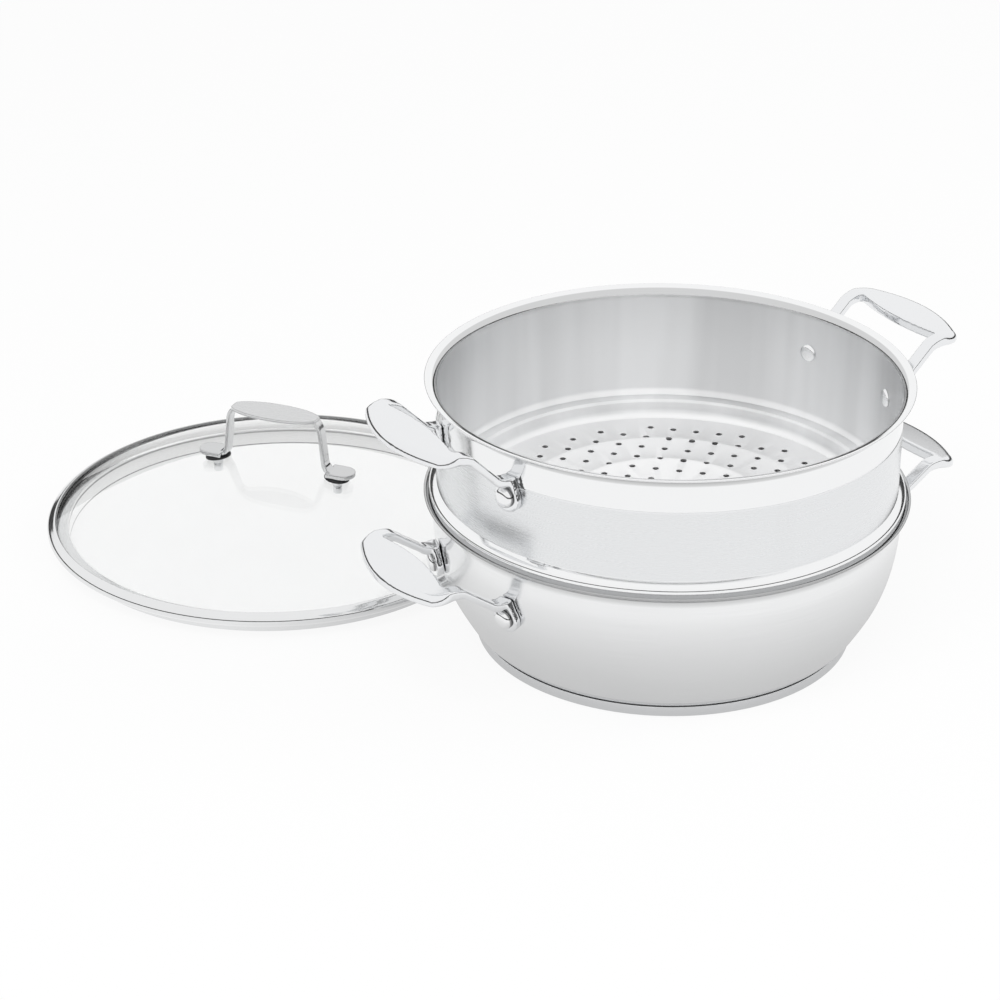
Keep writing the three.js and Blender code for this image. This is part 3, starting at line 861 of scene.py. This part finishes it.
class PAN_OT_steamer(bpy.types.Operator):
    """Turns the steamer, with its bands, ledge and ringed floor, and pierces its steam holes."""

    bl_idname = "pan.steamer"
    bl_label = "Steamer"

    def ridged(self, level):
        """The floor's pressed rings at one level, from the outside in."""
        return [(radius + step, level + rise) for radius in FLOOR_RINGS
                for step, rise in ((2, 0), (1, RING_RISE), (-1, RING_RISE), (-2, 0))]

    def holes(self, size, field):
        """Rods on a square grid within a field's radius."""
        pitch = size["hole_pitch"]
        turn = about_z(bpy.context.scene.pan_sizes.hole_turn)
        reach = math.ceil(field / pitch)
        steps = [step * pitch for step in range(-reach, reach + 1)]
        return [rod(size["hole_radius"], 8 * size["sheet"], turn @ moved(x, y, size["floor_z"]), 16)
                for x in steps for y in steps if math.hypot(x, y) < field]

    def execute(self, context):
        size = sizes()
        wall, rim, sheet = size["steamer_wall"], size["rim_radius"], size["sheet"]
        rim_z, seat_z, floor_z = size["steamer_rim_z"], size["pan_rim_z"], size["floor_z"]
        ledge_in = wall - LEDGE_WIDTH
        floor_edge = ledge_in - FLOOR_CORNER
        ledge_z = floor_z + FLOOR_DROP - 0.1
        bead = wall + SEAT_BEAD
        under_z = floor_z - sheet
        under = [(0, under_z), *reversed(self.ridged(under_z)), (floor_edge, under_z)]
        rise = [(ledge_in - 1.8, floor_z + 0.9), (ledge_in - 0.2, floor_z + 4.5),
                (ledge_in, ledge_z - sheet - 0.9), (ledge_in + 0.8, ledge_z - sheet)]
        seat = [(wall - 4.3, ledge_z - sheet), (wall - 1.9, seat_z - 2), (wall + 0.5, seat_z - 2.7),
                (size["pan_wall"] + 0.4, seat_z - 2.3),
                (size["pan_rim_radius"] - 3.2, seat_z - 1.2)]
        hem = smooth_through([
            (bead - 0.1, seat_z + 0.6), (bead, seat_z + 2.2), (bead - 0.5, seat_z + 4.0),
            (bead - 2.2, seat_z + 5.6), (wall, seat_z + 7)], 4)
        line = [(wall, BAND_LINE_Z - 0.6), (wall - 0.25, BAND_LINE_Z - 0.25),
                (wall - 0.25, BAND_LINE_Z + 0.25), (wall, BAND_LINE_Z + 0.6)]
        lip = smooth_through([
            (wall, rim_z - 8), (wall + 0.2, rim_z - 5.6), (wall + 1.2, rim_z - 3.4),
            (wall + 3.2, rim_z - 2.0), (rim - 0.5, rim_z - 1.3), (rim - 0.02, rim_z - 0.6),
            (rim - 0.5, rim_z - 0.1), (rim - 1.5, rim_z - 0.25), (wall + 2.1, rim_z - 1.2),
            (wall - 0.2, rim_z - 3.2), (wall - sheet, rim_z - 6.6)], 4)
        inside = [(wall - sheet, seat_z + 4), (wall - sheet - 0.9, seat_z + 1.6),
                  (wall - sheet - 2.9, ledge_z), (ledge_in, ledge_z),
                  (ledge_in - sheet, ledge_z - 1.5), (ledge_in - sheet - 0.2, floor_z + 4.7),
                  (ledge_in - sheet - 1.6, floor_z + 1.7), (floor_edge - 0.4, floor_z)]
        bm = turned([*under, *rise, *seat, *hem, *line, *lip, *inside, *self.ridged(floor_z),
                     (0, floor_z)])
        bm = pierced(bm, joined(self.holes(size, floor_edge - HOLE_MARGIN)))
        material = steamer_material(size)
        finished(bm, "steamer_shell", "steamer", material, "steamer_body")
        return {"FINISHED"}


class PAN_OT_loop_handles(bpy.types.Operator):
    """Casts the four loop handles: lens-shaped grip, two slanted arms and two round ears each."""

    bl_idname = "pan.loop_handles"
    bl_label = "Loop handles"

    def grip(self, wall, back, inset):
        """The grip's outline seen from above, with its outer edge drawn in by an inset."""
        half = ARM_SPREAD + ARM_WIDTH / 2
        inner = half - ARM_WIDTH
        out = wall + GRIP_REACH
        tip = (out - 10 - 0.8 * inset, ARM_SPREAD + 1 - inset)
        heel = (back - 1, half)
        shoulder = (out - 15 - 0.6 * inset, half + 1.5 - 0.7 * inset)
        line = [(back, -inner), *bend((back, -inner), (back - 8, 0), (back, inner), 24), heel]
        line += bend(heel, shoulder, tip)
        line += bend(tip, (out + 10 - 1.2 * inset, 0), (tip[0], -tip[1]), 32)
        line += bend(line[-1], (shoulder[0], -shoulder[1]), (heel[0], -heel[1]))
        return line

    def bar(self, wall, back, low, tall):
        """An arm's outline seen from the side, from inside the ear to under the grip."""
        root = math.sqrt(wall ** 2 - (ARM_SPREAD - ARM_WIDTH / 2) ** 2) + 0.6
        top = GRIP_RISE + GRIP_THICK
        line = [(root, low), (wall + 2, low)]
        line += bend(line[-1], (wall + 5, low + 0.5), (wall + 8, low + 4.5))
        line.append((back - 7, GRIP_RISE - 1.5))
        line += bend(line[-1], (back - 3, GRIP_RISE), (back + 2, GRIP_RISE))
        line.append((back + 2, top))
        line += bend(line[-1], (back - 4, top), (back - 9, top - 3.1))
        line.append((wall + 5, tall + 3))
        line += bend(line[-1], (wall + 2.5, tall + 0.3), (wall - 2, tall))
        return [*line, (root, tall)]

    def ear(self, tall):
        """An ear's outline on the wall: a half round below, narrowing to the arm above."""
        rounds = [math.pi + math.pi * step / 24 for step in range(1, 25)]
        return [(-ARM_WIDTH / 2, tall), (-EAR_RADIUS, 0),
                *[(EAR_RADIUS * math.cos(a), EAR_RADIUS * math.sin(a)) for a in rounds],
                (ARM_WIDTH / 2, tall)]

    def parts(self, wall, height):
        """The shells of one handle that reaches along +X from an upright wall."""
        back = wall + GRIP_REACH - GRIP_DEPTH + 5
        low = RIVET_HEAD + 1.5
        tall = low + ARM_THICK
        steepest = math.radians(72)
        flank = GRIP_THICK - GRIP_ROUND * math.sin(steepest)
        shells = []
        for step in range(13):
            angle = steepest * step / 12
            line = self.grip(wall, back, GRIP_ROUND * (1 - math.cos(angle)))
            thick = flank + GRIP_ROUND * math.sin(angle)
            shells.append(plate(line, thick, moved(z=height + GRIP_RISE)))
        bar, ear = self.bar(wall, back, low, tall), self.ear(tall)
        thick = EAR_THICK + FIT - 0.15
        stand = Matrix(((0, 0, 1, 0), (1, 0, 0, 0), (0, 1, 0, 0), (0, 0, 0, 1)))
        on_wall = moved(wall + FIT + EAR_THICK - thick, 0, height) @ stand
        for side in (-1, 1):
            beside = moved(y=side * ARM_SPREAD + ARM_WIDTH / 2, z=height)
            shells.append(plate(bar, ARM_WIDTH, beside @ on_edge()))
            shells.append(plate(ear, thick, about_z(rivet_turn(wall, side)) @ on_wall))
        return shells

    def execute(self, context):
        size = sizes()
        material = polished_material()
        for owner, wall, height, tilt in seats(size):
            handle = cast(self.parts(wall, height), size["voxel"], 7)
            laid(handle, leaning(wall, height, tilt))
            for word, turn in SIDES:
                copy = laid(handle.copy(), about_z(turn))
                finished(copy, f"{owner}_loop_{word}", owner, material,
                         f"{owner}_handle_{word}", CAST_CREASE)
            handle.free()
        return {"FINISHED"}


class PAN_OT_rivets(bpy.types.Operator):
    """Turns the eight rivets, with a dome on the ear and a low head inside the wall."""

    bl_idname = "pan.rivets"
    bl_label = "Rivets"

    def execute(self, context):
        size = sizes()
        rest = EAR_THICK + 2 * FIT
        back = -size["sheet"] - FIT
        head = RIVET_HEAD - 0.5
        dome = smooth_through([
            (RIVET_HEAD, rest + 0.3), (RIVET_HEAD * 0.94, rest + RIVET_DOME * 0.45),
            (RIVET_HEAD * 0.72, rest + RIVET_DOME * 0.8),
            (RIVET_HEAD * 0.38, rest + RIVET_DOME * 0.96), (0, rest + RIVET_DOME)], 4)
        low = smooth_through([
            (0, back - 2.2), (head * 0.5, back - 2.0), (head * 0.85, back - 1.4),
            (head, back - 0.4)], 4)
        outline = [*low, (head, back), (RIVET_SHANK, back), (RIVET_SHANK, rest),
                   (RIVET_HEAD, rest), *dome]
        for owner, wall, height, tilt in seats(size):
            material = rivet_material(owner, wall, height, tilt)
            lean = leaning(wall, height, tilt)
            outwards = moved(wall, 0, height) @ Matrix.Rotation(math.pi / 2, 4, "Y")
            for word, half in SIDES:
                for place, side in (("a", -1), ("b", 1)):
                    turn = about_z(half) @ lean @ about_z(rivet_turn(wall, side))
                    bm = laid(turned(outline, facets=32), turn @ outwards)
                    name = f"{owner}_rivet_{word}_{place}"
                    finished(bm, f"{name}_domed", owner, material, name)
        return {"FINISHED"}


class PAN_OT_lid_glass(bpy.types.Operator):
    """Turns the lid's glass dome and drills it for the handle's studs."""

    bl_idname = "pan.lid_glass"
    bl_label = "Lid glass"

    def execute(self, context):
        size = sizes()
        steps = [size["glass_radius"] * step / 20 for step in range(21)]
        below = [(r, dome_top(size, r) - GLASS_THICK) for r in steps]
        above = [(r, dome_top(size, r)) for r in reversed(steps)]
        stud_z = dome_top(size, FOOT_REACH)
        drill = [rod(STUD_RADIUS + FIT, 20, moved(side * FOOT_REACH, 0, stud_z), 32)
                 for side in (-1, 1)]
        bm = laid(pierced(turned([*below, *above]), joined(drill)), on_lid())
        finished(bm, "lid_dome", "lid", glass_material(), "lid_glass")
        return {"FINISHED"}


class PAN_OT_lid_band(bpy.types.Operator):
    """Turns the steel band that grips the glass and carries the skirt."""

    bl_idname = "pan.lid_band"
    bl_label = "Lid band"

    def execute(self, context):
        size = sizes()
        edge, glass, inner = size["lid_radius"], size["glass_radius"], size["band_in"]
        skirt, sheet = size["lid_skirt"], size["sheet"]
        slot = glass + FIT
        lap_z = dome_top(size, inner) + FIT
        flange = smooth_through([
            (glass + 1, LID_SEAT + 0.2), (edge - 0.7, LID_SEAT + 2.2), (edge, LID_SEAT + 3.6),
            (edge - 0.6, dome_top(size, glass)), (glass + 1.2, dome_top(size, glass) + 1.6),
            (inner + 1.3, lap_z + 1.4), (inner + 0.4, lap_z + 1.1), (inner, lap_z + 0.4)], 4)
        bm = turned([(skirt - sheet, 0), (skirt, 0), (skirt, LID_SEAT), *flange, (inner, lap_z),
                     (slot, dome_top(size, slot) + FIT),
                     (slot, dome_top(size, slot) - GLASS_THICK - FIT),
                     (skirt + 0.7, LID_SEAT + 2.6), (skirt - sheet, LID_SEAT + 2.6)])
        laid(bm, on_lid())
        finished(bm, "lid_band", "lid", band_material(size), "lid_rim_band")
        return {"FINISHED"}


class PAN_OT_lid_handle(bpy.types.Operator):
    """Forms the lid's strap handle: oval deck, two legs, two feet and a stud under each foot."""

    bl_idname = "pan.lid_handle"
    bl_label = "Lid handle"

    def leg(self, top, foot, deck_z, foot_z):
        """A leg's outline seen from the side, from the deck's bend to the foot's."""
        line = [(top - STRAP_BEND, deck_z)]
        line += bend(line[-1], (top + 0.5, deck_z), (top + 2, deck_z - STRAP_BEND - 1))
        line.append((foot - 1.5, foot_z + STRAP + 5))
        line += bend(line[-1], (foot - 0.5, foot_z + STRAP), (foot + 5, foot_z + STRAP))
        line += [(foot + 5, foot_z), (foot + 2, foot_z)]
        line += bend(line[-1], (foot - 3.3, foot_z), (foot - 4.2, foot_z + 6))
        line.append((top - 0.7, deck_z - STRAP_BEND - 2))
        line += bend(line[-1], (top - 2, deck_z - STRAP), (top - STRAP_BEND, deck_z - STRAP))
        return line

    def execute(self, context):
        size = sizes()
        glass_z = dome_top(size, FOOT_REACH)
        foot_z = glass_z + GASKET_THICK + FIT
        deck_z = foot_z + STRAP_RISE
        stud_low, stud_high = glass_z - GLASS_THICK - STUD_DROP, foot_z + 1
        leg_top, leg_foot = FOOT_REACH - 10.5, FOOT_REACH - 5
        half, leg_half = FOOT_WIDTH / 2, LEG_WIDTH / 2
        end = leg_top - STRAP_BEND / 4
        swell_end, swell = end - 10, (DECK_WIDTH - leg_half / 2) / 1.5
        front = arch((-end, -leg_half), (-swell_end, -swell), (swell_end, -swell),
                     (end, -leg_half), 32)
        deck = front + [(-x, -y) for x, y in front]
        leg = self.leg(leg_top, leg_foot, deck_z, foot_z)
        toe = FOOT_REACH + FOOT_LENGTH
        nose = toe - FOOT_NOSE
        foot = [(leg_foot, -half), (nose, -half), *bend((nose, -half), (toe, -half), (toe, 0)),
                *bend((toe, 0), (toe, half), (nose, half)), (leg_foot, half)]
        shells = [plate(deck, STRAP, moved(z=deck_z - STRAP))]
        for side in (0.0, math.pi):
            spin = about_z(side)
            stud = spin @ moved(FOOT_REACH, 0, (stud_high + stud_low) / 2)
            shells += [plate(leg, LEG_WIDTH, spin @ moved(y=leg_half) @ on_edge()),
                       plate(foot, FOOT_THICK, spin @ moved(z=foot_z)),
                       rod(STUD_RADIUS, stud_high - stud_low, stud, 32)]
        bm = laid(cast(shells, STRAP_GRAIN, 4), on_lid())
        material = strap_material(deck_z - STRAP, deck_z, end)
        finished(bm, "lid_strap", "lid", material, "lid_handle", CAST_CREASE)
        return {"FINISHED"}


class PAN_OT_lid_fixings(bpy.types.Operator):
    """Makes the gaskets on the glass, and the washers and nuts under it."""

    bl_idname = "pan.lid_fixings"
    bl_label = "Lid fixings"

    def ring(self, radius, low, high, bore, corner, cut_z, keep_above, slope):
        """A turned ring whose one face is cut to the slope of the glass."""
        bm = turned([(bore, low), (radius, low), (radius, high), (bore, high)], 48, corner)
        cut = bmesh.ops.bisect_plane(
            bm, geom=bm.verts[:] + bm.edges[:] + bm.faces[:], dist=1e-7,
            plane_co=(0, 0, cut_z * MM), plane_no=Vector((slope, 0, 1)),
            clear_inner=keep_above, clear_outer=not keep_above)
        rims = [g for g in cut["geom_cut"] if isinstance(g, bmesh.types.BMEdge)]
        bmesh.ops.bridge_loops(bm, edges=rims)
        return tidied(bm)

    def nut(self, low, high, bore):
        """A six-sided nut with softened edges, drilled for the stud."""
        bm = rod(NUT_RADIUS, high - low, moved(z=(high + low) / 2), 6)
        bmesh.ops.bevel(bm, geom=bm.edges[:], offset=0.45 * MM, affect="EDGES", segments=3,
                        profile=0.5, material=-1)
        return pierced(bm, rod(bore, 12, moved(z=low + NUT_PAST_STUD - FIT + 6), 24))

    def execute(self, context):
        size = sizes()
        top = dome_top(size, FOOT_REACH)
        slope = 2 * FOOT_REACH * dome_fall(size)
        under = top - GLASS_THICK
        washer_low = under - WASHER_DROP
        nut_low = under - STUD_DROP - NUT_PAST_STUD
        bore = STUD_RADIUS + FIT
        silicone, steel = silicone_material(), polished_material()
        for word, turn in (("a", math.pi), ("b", 0.0)):
            place = on_lid() @ about_z(turn) @ moved(FOOT_REACH)
            gasket = self.ring(GASKET_RADIUS, top - 2.4, top + GASKET_THICK, bore, 0.5,
                               top + FIT, True, slope)
            washer = self.ring(NUT_RADIUS + 0.3, washer_low, under + 2.0, bore, 0.4,
                               under - FIT, False, slope)
            nut = self.nut(nut_low, washer_low - FIT, bore)
            for bm, kind, slot, material in ((gasket, "gasket", "rubber", silicone),
                                             (washer, "washer", "polished_steel", steel),
                                             (nut, "nut", "polished_steel", steel)):
                name = f"lid_{kind}_{word}"
                finished(laid(bm, place), f"{name}_turned", "lid", material, name)
        return {"FINISHED"}


def seen_rays(shade):
    """1 for rays that show the background: from the camera, in a mirror or through glass."""
    light = shade.add("ShaderNodeLightPath").outputs
    seen = shade.math("MAXIMUM", light["Is Camera Ray"], light["Is Glossy Ray"])
    return shade.math("MAXIMUM", seen, light["Is Transmission Ray"])


class PAN_OT_stage(bpy.types.Operator):
    """Sets the pale floor, the soft studio light and the camera."""

    bl_idname = "pan.stage"
    bl_label = "Stage"

    def floor_material(self):
        """White paper that keeps the shadows; in the steel's mirror a painted shadow dims it close
        to the pan.
        """
        material, shade, shader, place = started("floor_paper")
        paper = shade.tone(shade.noise(place, 60.0), finish("floor"), 0.99)
        shade.join(paper, shader.inputs["Base Color"])
        shader.inputs["Roughness"].default_value = 0.9
        shader.inputs["Specular IOR Level"].default_value = 0.1
        away = shade.vector("LENGTH", place)
        # Painted shadow: in the steel's mirror the floor dims near the pan.
        mirrored = shade.span(away, PAINTED_SHADOW_NEAR, PAINTED_SHADOW_FAR, PAINTED_SHADOW_DIM, 1.0)
        light = shade.add("ShaderNodeLightPath").outputs
        clear = shade.math("SUBTRACT", 1.0, light["Is Transmission Ray"])
        in_steel = shade.math("MULTIPLY", light["Is Glossy Ray"], clear)
        glow = shade.add("ShaderNodeEmission")
        shade.join(shade.span(in_steel, 0.0, 1.0, 1.0, mirrored), glow.inputs["Strength"])
        mixed(shade, shade.math("MULTIPLY", seen_rays(shade), FLOOR_GLOW), shader, glow)
        return material

    def floor(self):
        """The floor, a hair under the pan."""
        bm = bmesh.new()
        bmesh.ops.create_grid(bm, x_segments=1, y_segments=1, size=FLOOR_HALF)
        bmesh.ops.translate(bm, verts=bm.verts, vec=(0, 0, -FLOOR_SINK))
        thing = made_object(bm, "floor")
        thing.data.materials.append(self.floor_material())

    def skirting(self):
        """A dark strip round the studio's foot, which shows only in reflections."""
        bm = bmesh.new()
        bmesh.ops.create_cone(bm, cap_ends=False, segments=96, radius1=SKIRTING_RADIUS,
                              radius2=SKIRTING_RADIUS, depth=SKIRTING_HEIGHT,
                              matrix=Matrix.Translation((0, 0, SKIRTING_HEIGHT / 2)))
        material = bpy.data.materials.new("skirting")
        material.use_nodes = True
        shader = material.node_tree.nodes["Principled BSDF"]
        shader.inputs["Base Color"].default_value = (*[SKIRTING_GREY] * 3, 1)
        shader.inputs["Roughness"].default_value = 0.9
        thing = made_object(bm, "skirting")
        thing.data.materials.append(material)
        thing.visible_camera = False
        thing.visible_shadow = False
        thing.visible_diffuse = False
        thing.visible_transmission = False

    def room(self, scene):
        """White surroundings that light the pan at a plain level."""
        world = bpy.data.worlds.new("studio")
        scene.world = world
        world.use_nodes = True
        shade = Shade(world.node_tree)
        back = world.node_tree.nodes["Background"]
        strength = shade.span(seen_rays(shade), 0.0, 1.0, ROOM_LIGHT, 1.0)
        shade.join(strength, back.inputs["Strength"])
        back.inputs["Color"].default_value = (1, 1, 1, 1)

    def lamps(self, context):
        """Two soft lamps that aren't mirrored in the steel."""
        for name, place, width, power in LAMPS:
            lamp = bpy.data.lights.new(name, "AREA")
            lamp.size = width
            lamp.energy = power
            thing = bpy.data.objects.new(name, lamp)
            thing.location = place
            aim = Vector(LAMP_AIM) - Vector(place)
            thing.rotation_euler = aim.to_track_quat("-Z", "Y").to_euler()
            thing.visible_glossy = False
            context.collection.objects.link(thing)

    def camera(self, context):
        """The camera, at the photograph's viewing angle."""
        camera = bpy.data.cameras.new("camera")
        camera.sensor_fit = "HORIZONTAL"
        camera.sensor_width = 36.0
        camera.lens = CAMERA_LENS
        camera.clip_end = 50.0
        thing = bpy.data.objects.new("camera", camera)
        thing.location = CAMERA_PLACE
        thing.rotation_euler = CAMERA_TURN
        context.collection.objects.link(thing)
        context.scene.camera = thing

    def execute(self, context):
        self.floor()
        self.room(context.scene)
        self.lamps(context)
        self.skirting()
        self.camera(context)
        context.scene.view_settings.view_transform = "Standard"
        return {"FINISHED"}


class PAN_PT_panel(bpy.types.Panel):
    """Lists the pan's sizes, finishes and pieces in the sidebar."""

    bl_idname = "PAN_PT_panel"
    bl_label = "Multi-purpose pan"
    bl_space_type = "VIEW_3D"
    bl_region_type = "UI"
    bl_category = "Pan"

    def draw(self, context):
        for group in (context.scene.pan_sizes, context.scene.pan_finishes):
            for name in group.bl_rna.properties.keys():
                if name not in ("rna_type", "name"):
                    self.layout.prop(group, name)
        for maker in MAKERS:
            self.layout.operator(maker.bl_idname)


MAKERS = (
    PAN_OT_stage, PAN_OT_bowl, PAN_OT_base, PAN_OT_steamer, PAN_OT_loop_handles, PAN_OT_rivets,
    PAN_OT_lid_glass, PAN_OT_lid_band, PAN_OT_lid_handle, PAN_OT_lid_fixings,
)
CLASSES = (PanSizes, PanFinishes, *MAKERS, PAN_PT_panel)


def register():
    for one in CLASSES:
        bpy.utils.register_class(one)
    bpy.types.Scene.pan_sizes = PointerProperty(type=PanSizes)
    bpy.types.Scene.pan_finishes = PointerProperty(type=PanFinishes)


def unregister():
    del bpy.types.Scene.pan_finishes
    del bpy.types.Scene.pan_sizes
    for one in reversed(CLASSES):
        bpy.utils.unregister_class(one)


def main():
    register()
    bpy.ops.pan.stage()
    bpy.ops.pan.bowl()
    bpy.ops.pan.base()
    bpy.ops.pan.steamer()
    bpy.ops.pan.loop_handles()
    bpy.ops.pan.rivets()
    bpy.ops.pan.lid_glass()
    bpy.ops.pan.lid_band()
    bpy.ops.pan.lid_handle()
    bpy.ops.pan.lid_fixings()


if __name__ == "__main__":
    main()
